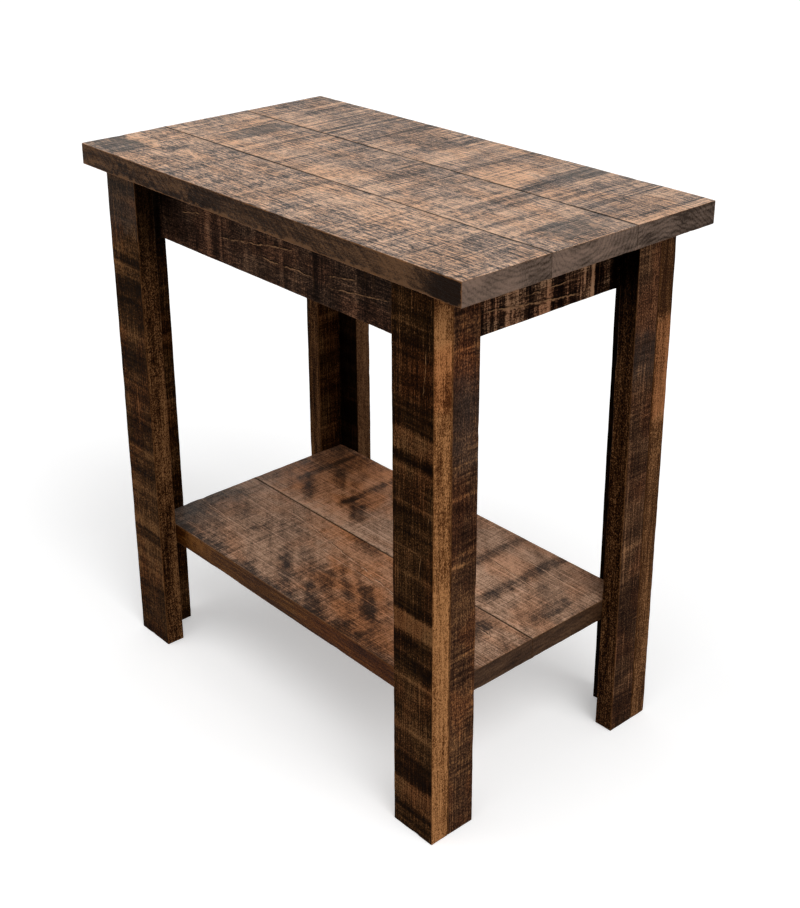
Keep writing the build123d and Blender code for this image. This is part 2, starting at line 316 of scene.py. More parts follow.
class Nodes:
    """The node tree of a material or world, with short ways to add nodes."""

    def __init__(self, owner, seed=0):
        owner.use_nodes = True
        self.tree = owner.node_tree
        self.tree.nodes.clear()
        self.draw = np.random.default_rng(seed)

    def add(self, kind, inputs=None, **settings):
        """A new shader node. Each input is a number or another node's output."""
        node = self.tree.nodes.new("ShaderNode" + kind)
        for key, value in settings.items():
            setattr(node, key, value)
        for key, value in (inputs or {}).items():
            socket = node.inputs[key]
            if isinstance(value, bpy.types.NodeSocket):
                self.tree.links.new(value, socket)
            else:
                socket.default_value = value
        return node

    def math(self, operation, *values, clamp=False):
        inputs = dict(enumerate(values))
        return self.add("Math", inputs, operation=operation, use_clamp=clamp).outputs[0]

    def scaled(self, place, size):
        """The place in cells of this size, from a random origin."""
        origin = self.draw.uniform(-ORIGIN_RANGE, ORIGIN_RANGE, 3)
        inputs = {0: place, 1: [1 / s for s in size], 2: origin}
        return self.add("VectorMath", inputs, operation="MULTIPLY_ADD").outputs[0]

    def noise(self, place, size, detail=2.0, roughness=0.5, distortion=0.0):
        """Noise about a half, in cells of this size."""
        inputs = {"Vector": self.scaled(place, size), "Scale": 1.0, "Detail": detail,
                  "Roughness": roughness, "Distortion": distortion}
        return self.add("TexNoise", inputs).outputs["Fac"]

    def shifted(self, value, gain, level):
        """The level plus gain times the value's distance from a half."""
        return self.math("MULTIPLY_ADD", self.math("SUBTRACT", value, 0.5), gain, level)

    def faded(self, value, amount):
        """The value drawn toward a half, until only this amount of its distance is left."""
        return self.shifted(value, amount, 0.5)

    def summed(self, level, *parts):
        """The level shifted by each (value, gain) part in turn."""
        for value, gain in parts:
            if gain:
                level = self.shifted(value, gain, level)
        return level

    def cells(self, along, waver, size):
        """A random value for each stretch along the board, about so long, with wavering ends."""
        start = self.draw.uniform(-ORIGIN_RANGE, ORIGIN_RANGE)
        at = self.shifted(waver, 0.6, self.math("MULTIPLY_ADD", along, 1 / size, start))
        node = self.add("TexVoronoi", {"W": at, "Scale": 1.0}, voronoi_dimensions="1D")
        return self.math("ADD", node.outputs["Color"], 0.0)

    def step(self, value, low, high, bottom=0.0, top=1.0):
        """From bottom to top as the value goes from low to high."""
        inputs = {"Value": value, "From Min": low, "From Max": high, "To Min": bottom, "To Max": top}
        return self.add("MapRange", inputs, interpolation_type="SMOOTHSTEP").outputs["Result"]

    def ramp(self, value, *stops):
        """A colour ramp through (position, colour) stops."""
        node = self.add("ValToRGB", {0: value})
        elements = node.color_ramp.elements
        while len(elements) < len(stops):
            elements.new(0.5)
        for element, (position, colour) in zip(elements, stops):
            element.position = position
            element.color = colour
        return node.outputs["Color"]

    def mix(self, amount, first, second, blend="MIX"):
        """Two colours mixed by the amount. The numbers are the places of the node's sockets."""
        inputs = {0: amount, 6: first, 7: second}
        return self.add("Mix", inputs, data_type="RGBA", blend_type=blend).outputs[2]

    def attribute(self, name):
        return self.add("Attribute", attribute_name=name).outputs["Fac"]

    def bump(self, height, strength, distance):
        """The normal of a surface with this height, whose full range is the distance in metres."""
        inputs = {"Height": height, "Strength": strength, "Distance": distance}
        return self.add("Bump", inputs).outputs[0]

    def surface(self, inputs):
        """End a material's tree in a principled shader with these inputs."""
        shader = self.add("BsdfPrincipled", inputs)
        self.add("OutputMaterial", {"Surface": shader.outputs[0]})


def crack(n, along, across, uvw, line):
    """How far the light edge and the dark lip of a thin wavering line along the grain show. The dark
    lip is painted shadow along one side of the line.
    """
    start, end, place, drift, waver, width = line
    path = n.math("MULTIPLY_ADD", n.math("SUBTRACT", along, start), drift, place)
    run = n.add("CombineXYZ", {0: along}).outputs[0]
    path = n.shifted(n.noise(run, (0.03, 1, 1), 4, 0.65), waver, path)
    gap = n.math("SUBTRACT", across, path)
    gap = n.shifted(n.noise(uvw, (0.007, 0.004, 0.003), 2, 0.6), width * 4, gap)
    first, last = min(start, end), max(start, end)
    begun = n.step(along, first, first + CRACK_FADE)
    ending = n.step(along, last - CRACK_FADE, last, 1.0, 0.0)
    shown = n.math("MULTIPLY", begun, ending)
    patchy = n.step(n.noise(run, (0.009, 1, 1), 2, 0.6), 0.36, 0.58, 0.15, 1.0)
    shown = n.math("MULTIPLY", shown, patchy)
    light = n.step(n.math("ABSOLUTE", gap), width * 0.3, width, 1.0, 0.0)
    lip = n.math("ABSOLUTE", n.math("SUBTRACT", gap, width * 1.7))
    dark = n.step(lip, width * 0.4, width * 1.3, 1.0, 0.0)
    return n.math("MULTIPLY", light, shown), n.math("MULTIPLY", dark, shown)


def grain_place(n, axes):
    """The place along the grain, across it and through the board, one by one and together."""
    xyz = n.add("SeparateXYZ", {0: n.add("TexCoord").outputs["Object"]})
    along, across, through = (xyz.outputs[i] for i in axes)
    uvw = n.add("CombineXYZ", {0: along, 1: across, 2: through}).outputs[0]
    return along, across, through, uvw


def wood(name, look, seed):
    """Rough-sawn stained wood, by a board's look."""
    material = bpy.data.materials.new(name)
    n = Nodes(material, seed)
    along, across, through, uvw = grain_place(n, look["axes"])
    leaning = uvw
    if look["lean"]:
        leant = n.math("MULTIPLY_ADD", across, look["lean"], along)
        leaning = n.add("CombineXYZ", {0: leant, 1: across, 2: through}).outputs[0]
    tone = n.attribute("tone")
    kind = n.attribute("kind")
    on_side = n.math("COMPARE", kind, NARROW_SIDE, KIND_TOLERANCE)
    at_end = n.math("COMPARE", kind, END_GRAIN, KIND_TOLERANCE)

    def fading(size, low, high):
        """Where a layer shows in full, in patches of the given size."""
        return n.step(n.noise(uvw, size, 2), low, high)

    patches = n.noise(leaning, look["patch"], 3, 0.6)
    waver = n.noise(uvw, (0.06, 0.022, 0.05), 2)
    zones = fading((0.06, 0.05, 0.08), 0.36, 0.64)
    layers = {"patches": patches, "bands": n.noise(uvw, look["band"], 3, 0.6)}
    cells = n.cells(along, waver, look["cell"])
    layers["cells"] = n.faded(cells, fading((0.05, 0.035, 0.05), 0.34, 0.6))
    cuts = n.cells(along, waver, look["cut"])
    layers["cuts"] = n.faded(cuts, fading((0.04, 0.02, 0.05), 0.36, 0.62))
    saws = n.noise(uvw, look["saw"], 2, 0.6)
    layers["saws"] = n.faded(saws, n.math("MULTIPLY_ADD", zones, look["saw_fade"], 1.0))
    layers["creases"] = n.noise(uvw, look["crease"], 3, 0.65, 1.2)
    layers["fibres"] = n.noise(uvw, (0.03, 0.0011, 0.0011), 2, 0.6, 0.2)
    hairs = n.noise(uvw, (0.12, 0.0014, 0.0014), 2, 0.6)
    layers["hairs"] = n.step(hairs, 0.5, 0.8, 0.42, 1.0)
    layers["grit"] = n.noise(uvw, (0.0018, 0.0012, 0.0012), 2, 0.6)
    flow = n.noise(uvw, (0.045, 0.007, 0.007), 3, 0.6, 0.5)
    veins = n.step(n.math("ABSOLUTE", n.math("SUBTRACT", flow, 0.5)), 0.0, 0.022, 0.0, 0.5)
    layers["veins"] = n.faded(veins, fading((0.02, 0.012, 0.02), 0.42, 0.6))

    # The wide faces
    level = n.math("ADD", tone, look["level"])
    level = n.summed(level, *((layers[key], gain) for key, gain in look["gains"].items()))
    face = n.ramp(level, *zip(FACE_STOPS, look["face"]))
    threads = n.noise(uvw, look["thread"], 2, 0.6)
    thread = n.math("MULTIPLY", n.step(threads, 0.56, 0.68), n.step(patches, 0.4, 0.6, 0.25, 1.0))
    face = n.mix(n.math("MULTIPLY", thread, look["thread_amount"]), face, look["thread_colour"])
    warm = n.step(n.noise(uvw, (0.07, 0.04, 0.1), 2), 0.42, 0.62, 0.0, look["warm_amount"])
    warm = n.math("ADD", warm, n.attribute("red"), clamp=True)
    face = n.mix(warm, face, look["warm"], "MULTIPLY")
    pores = n.noise(uvw, (0.013, 0.0009, 0.0009), 2, 0.6)
    face = n.mix(n.step(pores, 0.56, 0.68, 0.0, look["pore"]), face, look["face"][0])

    # The narrow sides, with saw marks that lean
    sawn = n.math("MULTIPLY_ADD", through, look["side_lean"], along)
    sawn = n.add("CombineXYZ", {0: sawn, 1: through}).outputs[0]
    side_grit = n.noise(uvw, (0.0016, 0.0009, 0.0009), 2, 0.6)
    side_patches = n.noise(uvw, (0.16, 0.02, 0.008), 3, 0.6)
    side_saws = n.noise(sawn, (0.004, 0.06, 1), 2, 0.6)
    side_level = n.summed(
        n.math("ADD", tone, 0.5),
        (layers["fibres"], look["side_fibre"]), (side_grit, look["side_grit"]),
        (side_patches, look["side_patch"]), (side_saws, look["side_saw"]))
    side = n.ramp(side_level, *zip(NARROW_STOPS, look["side"]))
    side = n.mix(n.attribute("red"), side, look["warm"], "MULTIPLY")
    colour = n.mix(on_side, face, side)

    # The end grain, with growth rings round the log's middle
    ring_x, ring_y = look["rings"]
    from_middle = {0: n.math("SUBTRACT", across, ring_x), 1: n.math("SUBTRACT", through, ring_y)}
    from_middle = n.add("CombineXYZ", from_middle).outputs[0]
    radius = n.add("VectorMath", {0: from_middle}, operation="LENGTH").outputs["Value"]
    radius = n.shifted(n.noise(uvw, (0.05, 0.02, 0.02), 2), 0.012, radius)
    rings = n.math("PINGPONG", radius, RING_PITCH / 2)
    rings = n.step(rings, RING_PITCH * 0.08, RING_PITCH * 0.3)
    end_patches = n.noise(uvw, (0.02, 0.05, 0.012), 4, 0.6)
    end_grit = n.noise(uvw, (0.002, 0.0018, 0.0018), 2)
    end_saws = n.noise(uvw, (1, 0.02, 0.003), 2)
    end_level = n.summed(
        n.math("ADD", tone, 0.46),
        (rings, look["ring_gain"]), (end_patches, 1.1), (end_grit, 0.7), (end_saws, 0.7))
    end = n.ramp(end_level, *zip(NARROW_STOPS, look["end"]))
    colour = n.mix(at_end, colour, end)

    # Cracks and light scratches, with painted shadow in the dark lip beside each
    relief = None
    for line in look.get("lines", ()):
        light, dark = crack(n, along, across, uvw, line)
        colour = n.mix(n.math("MULTIPLY", dark, 0.75), colour, look["line_shadow"])
        colour = n.mix(n.math("MULTIPLY", light, look["line_amount"]), colour, look["line_light"])
        relief = dark if relief is None else n.math("MAXIMUM", relief, dark)

    # Painted sheen in grey, rubbed arrises, the dark of the seams, and painted shade in the corners
    # Painted sheen: grey mixed in where the board's greys lie, broken up by the grit and saw marks
    sheen_breakup = n.summed(0.5, (layers["grit"], 1.0), (layers["saws"], 1.0))
    painted_sheen = n.math("MULTIPLY", n.attribute("grey"), n.step(sheen_breakup, 0.2, 0.8, 0.2, 1.4))
    colour = n.mix(painted_sheen, colour, look["grey"])
    broken = n.shifted(n.noise(uvw, (0.014, 0.004, 0.004), 3, 0.7), 0.005, n.attribute("arris"))
    amount = n.math("MULTIPLY_ADD", on_side, look["side_rub"] - look["rub"], look["rub"])
    rub = n.math("MULTIPLY", n.step(broken, 0.0002, 0.0017, 1.0, 0.0), amount)
    colour = n.mix(rub, colour, look["worn"])
    shade = n.attribute("shade")
    shade = n.add("CombineXYZ", {0: shade, 1: shade, 2: shade}).outputs[0]
    colour = n.mix(1.0, colour, shade, "MULTIPLY")

    roughness = n.step(level, 0.1, 0.9, look["rough"] - 0.06, look["rough"] + 0.06)
    height = n.math("MULTIPLY", layers["saws"], look["saw_relief"])
    height = n.math("MULTIPLY_ADD", layers["creases"], look["crease_relief"], height)
    height = n.math("MULTIPLY_ADD", layers["fibres"], 0.5, height)
    height = n.math("MULTIPLY_ADD", layers["grit"], 0.3, height)
    if relief is not None:
        height = n.math("MULTIPLY_ADD", relief, -0.8, height)
    n.surface({
        "Base Color": colour, "Roughness": roughness, "Specular IOR Level": look["specular"],
        "IOR": look["ior"], "Normal": n.bump(height, look["bump"], 0.0012),
    })
    return material


# The darkness of places that little light reaches, at points in millimetres

DEEP_SHADE = 0.85
END_BOARD_INSIDE = 253
LEG_EDGE = 112.8
LEG_OUTSIDE = 171.5
REAR_INSIDE = (147.5, 149.5)
END_APRON_INSIDE = 219


def near_corner(x, y, z):
    """Painted shade in a leg's inner corner: under the top, and all down the inside of a rear face
    board.
    """
    inner = (abs(x) < END_BOARD_INSIDE + 0.5) | (abs(y) < LEG_EDGE)
    under_top = np.where(inner & (abs(y) < LEG_OUTSIDE), DEEP_SHADE * smooth(z, 430, 590), 0)
    inside = (abs(x) < END_BOARD_INSIDE) & (y > REAR_INSIDE[0]) & (y < REAR_INSIDE[1])
    return np.maximum(under_top, np.where(inside, DEEP_SHADE, 0))


def under_top_ends(x, y, z):
    """Painted shade at the ends of the long aprons, beside the legs, under the top."""
    return 0.8 * smooth(abs(x), 168, 216) * smooth(z, 520, 600)


def under_top_sides(x, y, z):
    """Painted shade at the rear end of the end aprons, and at the front end of their inner faces."""
    front = 0.9 * smooth(-y, 136, 140) * (abs(x) < END_APRON_INSIDE)
    return np.maximum(DEEP_SHADE * smooth(y, 96, 132), front)


# A look holds, for the mesh: the strength of the saw marks, the radius of the arrises, the lattice's
# step along the grain and the light left in a seam; and the name of a material slot, which is not
# used. For the material: the sizes of the layers, in metres along, across and through the board, how
# far each layer shifts the tone (gains), and the colours, dark to light, of the faces, sides and ends.
TOP = {
    "slot": "top_wood", "relief": 1.0, "arris": 1.2 * MM, "step": 2.0 * MM, "seam_shade": 0.17,
    "lean": 0.0, "patch": (0.03, 0.06, 0.1), "band": (0.008, 0.4, 0.1), "cell": 0.034, "cut": 0.009,
    "saw": (0.0033, 0.12, 0.05), "saw_fade": -0.55, "crease": (0.014, 0.0024, 0.003),
    "thread": (0.0022, 0.04, 0.03), "thread_amount": 0.0, "thread_colour": srgb(216, 180, 152),
    "level": 0.565,
    "gains": {"patches": 0.35, "bands": 0.8, "cells": 0.24, "cuts": 0.34, "saws": 1.3, "creases": 2.3,
              "fibres": 2.2, "hairs": 0.4, "grit": 1.4, "veins": 0.5},
    "face": colours((67, 63, 61), (112, 103, 98), (159, 138, 125), (204, 169, 144), (238, 197, 166)),
    "warm": srgb(255, 240, 226), "warm_amount": 0.6, "grey": srgb(126, 118, 110), "pore": 0.65,
    "side": colours((26, 14, 6), (54, 37, 25), (98, 70, 48)),
    "side_lean": 1.4, "side_saw": 1.0, "side_grit": 1.4, "side_fibre": 0.9, "side_patch": 1.0,
    "end": colours((52, 40, 32), (100, 83, 72), (130, 107, 93)), "ring_gain": 0.18,
    "rings": (0.0, -0.05), "rub": 0.25, "side_rub": 0.75, "worn": srgb(122, 82, 50), "rough": 0.5,
    "saw_relief": 0.5, "crease_relief": 1.8, "bump": 0.9, "specular": 0.02, "ior": 1.5,
    "line_light": srgb(206, 164, 130), "line_shadow": srgb(44, 32, 25), "line_amount": 0.4,
}
LEG = dict(
    TOP, slot="leg_wood", relief=0.9, arris=1.1 * MM, painted_shade=near_corner,
    patch=(0.05, 0.06, 0.1), band=(0.013, 0.4, 0.1), cell=0.03, cut=0.008,
    saw=(0.0034, 0.05, 0.05), crease=(0.012, 0.003, 0.003), saw_fade=-0.8, level=0.475,
    gains={"patches": 0.7, "bands": 1.1, "cells": 0.1, "cuts": 0.1, "saws": 0.6, "creases": 0.3,
           "fibres": 0.9, "hairs": 0.9, "grit": 1.8},
    face=colours((10, 3, 0), (26, 12, 2), (49, 29, 11), (77, 51, 29), (115, 80, 49)),
    warm=srgb(255, 205, 180), warm_amount=0.4, grey=srgb(84, 78, 73), pore=0.25,
    thread_amount=0.12, thread_colour=srgb(112, 79, 46),
    side=colours((54, 28, 10), (110, 70, 39), (168, 118, 74)),
    side_lean=0.3, side_saw=0.4, side_grit=2.4, side_fibre=1.2, side_patch=1.2,
    worn=srgb(104, 68, 38), rub=0.35, side_rub=0.35,
    saw_relief=0.4, crease_relief=0.4, bump=0.5, specular=0.006, ior=1.4,
    line_light=srgb(128, 91, 58), line_shadow=srgb(8, 4, 2), line_amount=0.65,
)
DARK_SIDE = colours((10, 3, 1), (58, 33, 15), (126, 88, 55))
MID_SIDE = colours((42, 22, 9), (94, 62, 36), (150, 106, 70))
BROWN_SIDE = colours((50, 28, 14), (86, 58, 37), (116, 83, 56))
APRON = dict(
    LEG, slot="apron_wood", patch=(0.04, 0.05, 0.1), band=(0.01, 0.4, 0.1), cell=0.02, cut=0.006,
    saw=(0.0024, 0.05, 0.05), level=0.49,
    gains={"patches": 0.7, "bands": 0.7, "cells": 0.08, "cuts": 0.12, "saws": 0.7, "creases": 0.6,
           "fibres": 1.0, "hairs": 0.3, "grit": 1.6},
    face=colours((12, 6, 4), (30, 20, 15), (50, 36, 28), (79, 58, 45), (130, 98, 75)),
    side=colours((20, 10, 5), (44, 29, 18), (84, 60, 42)), thread_amount=0.15,
    line_light=srgb(150, 112, 80), line_amount=0.8,
)
SHELF = dict(
    TOP, slot="shelf_wood", relief=0.35, arris=1.0 * MM, step=2.4 * MM, seam_shade=0.3,
    lean=1.2, patch=(0.02, 0.07, 0.1), band=(0.012, 0.4, 0.1), cell=0.03, cut=0.008,
    saw=(0.0026, 0.03, 0.05), crease=(0.03, 0.003, 0.004), level=0.615,
    gains={"patches": 0.8, "bands": 0.5, "cells": 0.08, "cuts": 0.06, "saws": 0.9, "creases": 0.6,
           "fibres": 0.8, "hairs": 0.9, "grit": 1.3, "veins": 0.2},
    face=colours((48, 39, 34), (92, 72, 59), (136, 104, 82), (166, 131, 106), (204, 165, 138)),
    warm=srgb(255, 217, 182), warm_amount=0.4, pore=0.3,
    side=colours((30, 8, 0), (68, 38, 11), (110, 70, 32)), side_saw=0.4, side_grit=1.8, side_fibre=1.3,
    side_patch=1.1, end=colours((30, 17, 8), (62, 42, 28), (88, 64, 44)), ring_gain=0.1,
    worn=srgb(112, 78, 50), side_rub=0.4, rough=0.36, saw_relief=0.25, crease_relief=0.4, bump=0.4,
    line_light=srgb(210, 168, 134), line_shadow=srgb(60, 40, 30), line_amount=0.8,
)

# The axes of the grain, the width and the thickness of each kind of board
FLAT_X = (0, 1, 2)
UPRIGHT_FACE = (2, 0, 1)
UPRIGHT_SIDE = (2, 1, 0)
RAIL_X = (0, 2, 1)
RAIL_Y = (1, 2, 0)

# -------------------- the boards

# The marks that the photograph shows, in millimetres, board by board

TOP_FRONT_MARKS = [
    mark(-0.36, 4, x=(-330, -251), y=(-168, -124)),
    mark(-0.3, 7, x=(-238, -213), y=(-132, -97)),
    *(mark(-0.17, 2, x=(x, x + 5), y=(-127, -64)) for x in (-146, -129, -117)),
    mark(-0.23, 2, x=(-47, -40), y=(-148, -64)),
    mark(-0.14, 2, x=(-7, 5), y=(-148, -64)),
    mark(-0.14, 10, x=(212, 310), y=(-107, -76)),
    mark(-0.07, 14, x=(-200, 330), y=(-190, -130)),
    mark(0.3, 4, x=(-330, -164), y=(-124, -104)),
    mark(0.17, 6, x=(-232, -210), y=(-190, -132)),
    mark(0.16, 12, x=(9, 190), y=(-117, -66)),
    mark(0.17, 3, x=(212, 232), y=(-117, -64)),
    mark(-0.25, 2, x=(-330, -240), y=(-103, -99)),
    mark(-0.35, 5, x=(-233, -215), y=(-122, -106)),
]
TOP_FRONT_EDGE_MARKS = [
    # The first two: a lighter line along the lower arris, partly worn wood and partly painted
    # highlight
    mark(0.5, 1.5, z=(610, 617)),
    mark(0.5, 1.5, x=(-60, 330), z=(610, 617)),
    mark(0.18, 6, x=(-330, -90), z=(626, 634)),
    mark(-0.2, 6, x=(-330, -40), z=(617, 625)),
    mark(-0.25, 18, x=(-100, -26)),
    mark(0.1, 30, lean=1.2, x=(-330, -240)),
    mark(0.26, 24, lean=1.2, x=(-8, 66)),
    mark(-0.3, 20, lean=1.2, x=(76, 110)),
    mark(-0.1, 30, lean=1.2, x=(114, 160)),
    mark(-0.34, 40, lean=1.2, x=(180, 256)),
    mark(-0.42, 40, x=(262, 350)),
]
TOP_MIDDLE_MARKS = [
    mark(-0.11, 9, x=(-330, -281), y=(-25, 10)),
    mark(-0.24, 4, x=(-241, -208), y=(-36, 46)),
    mark(-0.28, 2.5, x=(-164, -156), y=(-25, 70)),
    mark(-0.2, 2, x=(-99, -92)),
    mark(-0.14, 3, x=(-75, -63)),
    mark(-0.14, 4, x=(-58, -32), y=(-15, 70)),
    mark(-0.18, 9, x=(-27, 49), y=(-10, 51)),
    mark(-0.06, 8, x=(70, 141), y=(-46, 51)),
    mark(-0.18, 3, x=(164, 197), y=(-25, 70)),
    mark(-0.21, 5, x=(258, 312), y=(-25, 30)),
    mark(0.14, 8, x=(-208, -164), y=(-70, -15)),
    mark(0.11, 4, x=(-139, -98)),
    mark(0.18, 9, x=(-58, 70), y=(-70, -25)),
    mark(0.09, 2, x=(-12, 1)),
    mark(0.21, 2, x=(143, 161)),
    mark(0.14, 3, x=(230, 258)),
    mark(0.06, 16, x=(-250, 200), y=(-70, 0)),
    mark(-0.22, 3, x=(257, 266), y=(-50, 70)),
    # The last two marks: a lighter lip at the seam, painted highlight where the arris catches the
    # light
    mark(0.12, 2.5, y=(-66, -60)),
    mark(0.05, 5, y=(-70, -50)),
]
TOP_REAR_MARKS = [
    mark(-0.12, 9, x=(-266, -246), y=(102, 190)),
    mark(-0.26, 6, x=(-307, -294), y=(89, 112)),
    mark(-0.12, 2, x=(-203, -197)),
    mark(-0.4, 2.5, x=(-162, -154)),
    mark(-0.36, 2, x=(-106, -99)),
    mark(-0.12, 12, x=(-86, -12), y=(92, 147)),
    *(mark(-0.15, 1.5, x=(x, x + 4)) for x in (57, 65, 78)),
    mark(-0.23, 3, x=(143, 179)),
    mark(-0.2, 8, x=(155, 172), y=(130, 160)),
    mark(-0.23, 2, x=(207, 214)),
    mark(-0.15, 4, x=(245, 301), y=(50, 127)),
    mark(-0.2, 2, x=(248, 252)),
    mark(0.2, 12, x=(-246, -205), y=(50, 107)),
    mark(0.12, 12, x=(-93, -32), y=(50, 102)),
    mark(0.1, 6, x=(9, 39)),
    mark(0.23, 7, x=(90, 141), y=(50, 127)),
    mark(0.2, 3, x=(303, 330)),
    mark(-0.05, 14, y=(100, 190)),
    mark(-0.06, 20, x=(-330, -230), y=(100, 190)),
    mark(-0.07, 16, x=(-20, 80), y=(120, 190)),
    # The last two marks: a lighter lip at the seam, painted highlight where the arris catches the
    # light
    mark(0.12, 2.5, y=(55, 61)),
    mark(0.07, 5, y=(50, 70)),
]
NEAR_FACE_MARKS = [
    mark(0.2, 2, z=(597.5, 600)),
    mark(0.15, 2, z=(576.5, 579)),
    mark(-0.12, 30, z=(500, 640)),
    mark(-0.14, 6, z=(544, 575)),
    mark(-0.28, 5, z=(471, 502)),
    mark(0.28, 5, z=(446, 469)),
    mark(-0.2, 4, z=(431, 444)),
    mark(0.3, 1.5, z=(389.5, 392)),
    mark(-0.14, 8, z=(315, 386)),
    mark(0.15, 1.5, z=(340.5, 343)),
    mark(-0.26, 7, z=(269, 310)),
    mark(0.22, 5, z=(244, 269)),
    mark(-0.26, 6, z=(194, 240)),
    mark(0.3, 2, z=(187, 190.5)),
    mark(0.06, 8, z=(98, 185)),
    mark(-0.28, 4, z=(62, 94)),
    mark(0.26, 4, z=(31, 60)),
    mark(-0.25, 2, z=(23, 29)),
    mark(-0.2, 2, z=(10, 15)),
]
NEAR_STRIP_MARKS = [
    mark(0.2, 16, z=(531, 590)),
    mark(-0.2, 16, z=(600, 640)),
    mark(-0.25, 6, y=(-153, -140), z=(500, 640)),
    mark(-0.2, 8, y=(-158, -140), z=(322, 510)),
    mark(0.12, 8, z=(-10, 306)),
    mark(-0.9, 0.6, y=(-149.1, -140), z=(-10, 312)),
]
NEAR_SIDE_MARKS = [
    mark(-0.1, 8, z=(448, 502)),
    mark(0.3, 1.5, z=(432, 435)),
    mark(0.3, 2, z=(396.5, 400)),
    mark(-0.15, 8, z=(340, 395)),
    mark(0.35, 1.5, y=(-150, -128), z=(321, 325)),
    mark(-0.15, 8, z=(286, 320)),
    mark(-0.06, 40, z=(430, 620)),
    mark(0.05, 40, z=(110, 310)),
]
LEFT_FACE_MARKS = [
    mark(-0.03, 10, z=(523, 620)),
    mark(-0.22, 3, z=(510, 519)),
    mark(0.22, 2, z=(503, 506)),
    mark(-0.16, 6, z=(435, 498)),
    mark(0.13, 5, z=(406, 431)),
    mark(-0.16, 4, z=(373, 400)),
    mark(0.08, 6, z=(323, 365)),
    mark(-0.14, 5, z=(273, 306)),
    mark(0.22, 1.5, z=(265.5, 268)),
    mark(-0.16, 4, z=(231, 248)),
    mark(0.2, 4, z=(157, 177)),
    mark(-0.26, 1.5, z=(153, 155.5)),
    mark(0.09, 6, z=(86, 148)),
    mark(-0.14, 8, z=(-10, 85)),
    mark(0.14, 1.5, z=(17.5, 20)),
    mark(-0.05, 30, z=(300, 450)),
    mark(0.06, 40, z=(-10, 300)),
]
RIGHT_SIDE_MARKS = [
    mark(0.16, 3, y=(137.5, 143.5), z=(510, 573)),
    mark(0.06, 8, z=(496, 590)),
    mark(-0.13, 5, z=(460, 494)),
    mark(0.13, 2, z=(367.5, 371)),
    mark(-0.11, 8, z=(302, 356)),
    mark(0.26, 1.5, y=(133, 142), z=(292.5, 295)),
    mark(0.11, 4, z=(235, 248)),
    mark(0.11, 3, z=(198, 214)),
    mark(-0.2, 8, z=(70, 190)),
    mark(-0.24, 20, z=(-10, 70)),
    mark(-0.05, 20, z=(380, 490)),
    mark(0.11, 5, z=(44, 68)),
]
RIGHT_STRIP_MARKS = [
    mark(-0.35, 14, z=(510, 620)),
    mark(0.15, 12, z=(385, 510)),
    mark(-0.15, 12, z=(-10, 385)),
    mark(-0.9, 0.6, y=(147, 149.1), z=(-10, 520)),
]
FRONT_APRON_MARKS = [
    mark(0.18, 5, x=(-128, -120)),
    mark(0.21, 2, x=(-101, -98)),
    mark(-0.12, 3, x=(-116, -104)),
    mark(0.11, 4, x=(-60, -34)),
    mark(-0.13, 3, x=(-33, -22)),
    mark(0.18, 3, x=(4, 12)),
    mark(-0.21, 3, x=(60, 72)),
    mark(0.13, 3, x=(76, 80)),
    mark(0.15, 3, x=(122, 130)),
    mark(-0.12, 8, x=(132, 182)),
    mark(-0.09, 30, x=(-230, -170)),
]
END_APRON_MARKS = [
    mark(0.4, 3, y=(-47, -41)),
    mark(0.3, 2, y=(-32, -28)),
    mark(-0.35, 2, y=(-14, -7)),
    mark(0.25, 2, y=(12, 17)),
    mark(-0.25, 3, y=(20, 38)),
    mark(0.3, 2, y=(66, 70)),
    mark(0.5, 2, y=(78, 83)),
    mark(-0.25, 6, y=(84, 118)),
    mark(0.3, 2, y=(121, 124), z=(530, 565)),
]
SHELF_FRONT_MARKS = [
    mark(-0.2, 20, lean=1.0, x=(-210, -180), y=(-80, -50)),
    mark(-0.25, 16, lean=1.2, x=(26, 46), y=(-100, -66)),
    mark(-0.25, 14, lean=1.2, x=(-120, -104), y=(-70, -50)),
    mark(-0.2, 14, lean=1.2, x=(-16, -2), y=(-60, -36)),
    mark(-0.34, 16, lean=1.2, x=(-76, -58), y=(-104, -72)),
    mark(-0.23, 14, lean=1.2, x=(-40, -26), y=(-92, -66)),
    mark(-0.29, 12, lean=1.0, x=(14, 30), y=(-64, -44)),
    mark(-0.4, 16, lean=1.2, x=(-2, 22), y=(-108, -72)),
    mark(-0.48, 16, lean=1.2, x=(64, 94), y=(-112, -62)),
    mark(-0.34, 18, lean=1.2, x=(-50, -26), y=(-134, -96)),
    mark(-0.4, 16, lean=1.2, x=(16, 46), y=(-148, -112)),
    mark(-0.29, 14, x=(-152, -134), y=(-86, -70)),
    mark(-0.34, 26, x=(-270, -226), y=(-110, -30)),
    mark(-0.17, 30, x=(-270, -190), y=(-170, -100)),
    mark(-0.17, 18, x=(-12, 0), y=(-20, 0)),
    mark(0.14, 30, x=(-70, 70), y=(-66, -14)),
    mark(-0.17, 2.5, x=(-120, -115)),
    mark(-0.11, 2.5, x=(-234, -230)),
    mark(-0.34, 12, y=(-160, -138)),
    mark(-0.34, 18, x=(170, 214), y=(-66, -16)),
    mark(0.46, 9, x=(212, 226), y=(-36, -28)),
    mark(-0.14, 26, x=(-270, -140), y=(-160, -95)),
    mark(-0.12, 24, x=(70, 130), y=(-150, -95)),
    mark(0.12, 16, x=(-250, -40), y=(-30, 10)),
]
